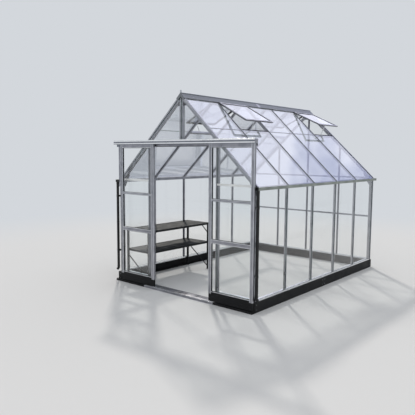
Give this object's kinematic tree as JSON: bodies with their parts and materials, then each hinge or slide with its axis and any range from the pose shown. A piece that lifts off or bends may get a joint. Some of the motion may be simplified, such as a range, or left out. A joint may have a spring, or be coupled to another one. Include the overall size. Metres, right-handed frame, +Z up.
{
  "type": "glass greenhouse",
  "caption": "Gable-roofed garden greenhouse of glass in aluminium bars on a steel base, with sliding front doors, open roof vents, gutters and shelves inside.",
  "frame": {"origin": "on the ground, at the middle of the outline", "axes": "+Z up, +Y along the ridge from the door gable to the back gable, +X to the right seen from the doors"},
  "size_m": [2.4272, 3.249, 2.5314],
  "materials": {
    "aluminium": "mill finish, satin",
    "glass": "clear toughened glass",
    "black_steel": "black powder coat",
    "staging_steel": "black powder coat",
    "black_plastic": "satin black",
    "roller_plastic": "moulded nylon",
    "rubber_seal": "black glazing strip",
    "steel_fixings": "zinc plated bolts and clips"
  },
  "bodies": {
    "greenhouse": {"back_bars": "aluminium", "back_cross_bars": "aluminium", "back_glass": "glass", "base_back": "black_steel", "base_front_left": "black_steel", "base_front_right": "black_steel", "base_side_left": "black_steel", "base_side_right": "black_steel", "corner_posts": "aluminium", "door_head": "aluminium", "door_jambs": "aluminium", "door_threshold": "aluminium", "door_track": "aluminium", "downpipe_left": "black_plastic", "downpipe_right": "black_plastic", "eaves_beams": "aluminium", "front_cross_bars": "aluminium", "front_glass": "glass", "gutter_left": "aluminium", "gutter_right": "aluminium", "king_post": "aluminium", "rafters_left": "aluminium", "rafters_right": "aluminium", "ridge_beam": "aluminium", "ridge_cap": "aluminium", "roof_bars_left": "aluminium", "roof_bars_right": "aluminium", "roof_glass_left": "glass", "roof_glass_right": "glass", "side_bars_left": "aluminium", "side_bars_right": "aluminium", "sills": "aluminium", "staging_braces": "staging_steel", "staging_legs": "staging_steel", "staging_trays": "staging_steel", "track_struts": "aluminium", "vent_frames": "aluminium", "vent_glass": "glass", "vent_openers": "aluminium", "vent_sills": "aluminium", "wall_glass_left": "glass", "wall_glass_right": "glass"},
    "door_left": {"door_left_frame": "aluminium", "door_left_glass": "glass", "door_left_hangers": "roller_plastic", "door_left_kick_panel": "black_steel"},
    "door_right": {"door_right_frame": "aluminium", "door_right_glass": "glass", "door_right_hangers": "roller_plastic", "door_right_kick_panel": "black_steel"}
  },
  "joints": [
    {"name": "door_left_slide", "type": "slide", "parent": "greenhouse", "child": "door_left", "axis": [1, 0, 0], "range_m": [-0.122, 0.4]},
    {"name": "door_right_slide", "type": "slide", "parent": "greenhouse", "child": "door_right", "axis": [-1, 0, 0], "range_m": [0, 0.522]}
  ]
}
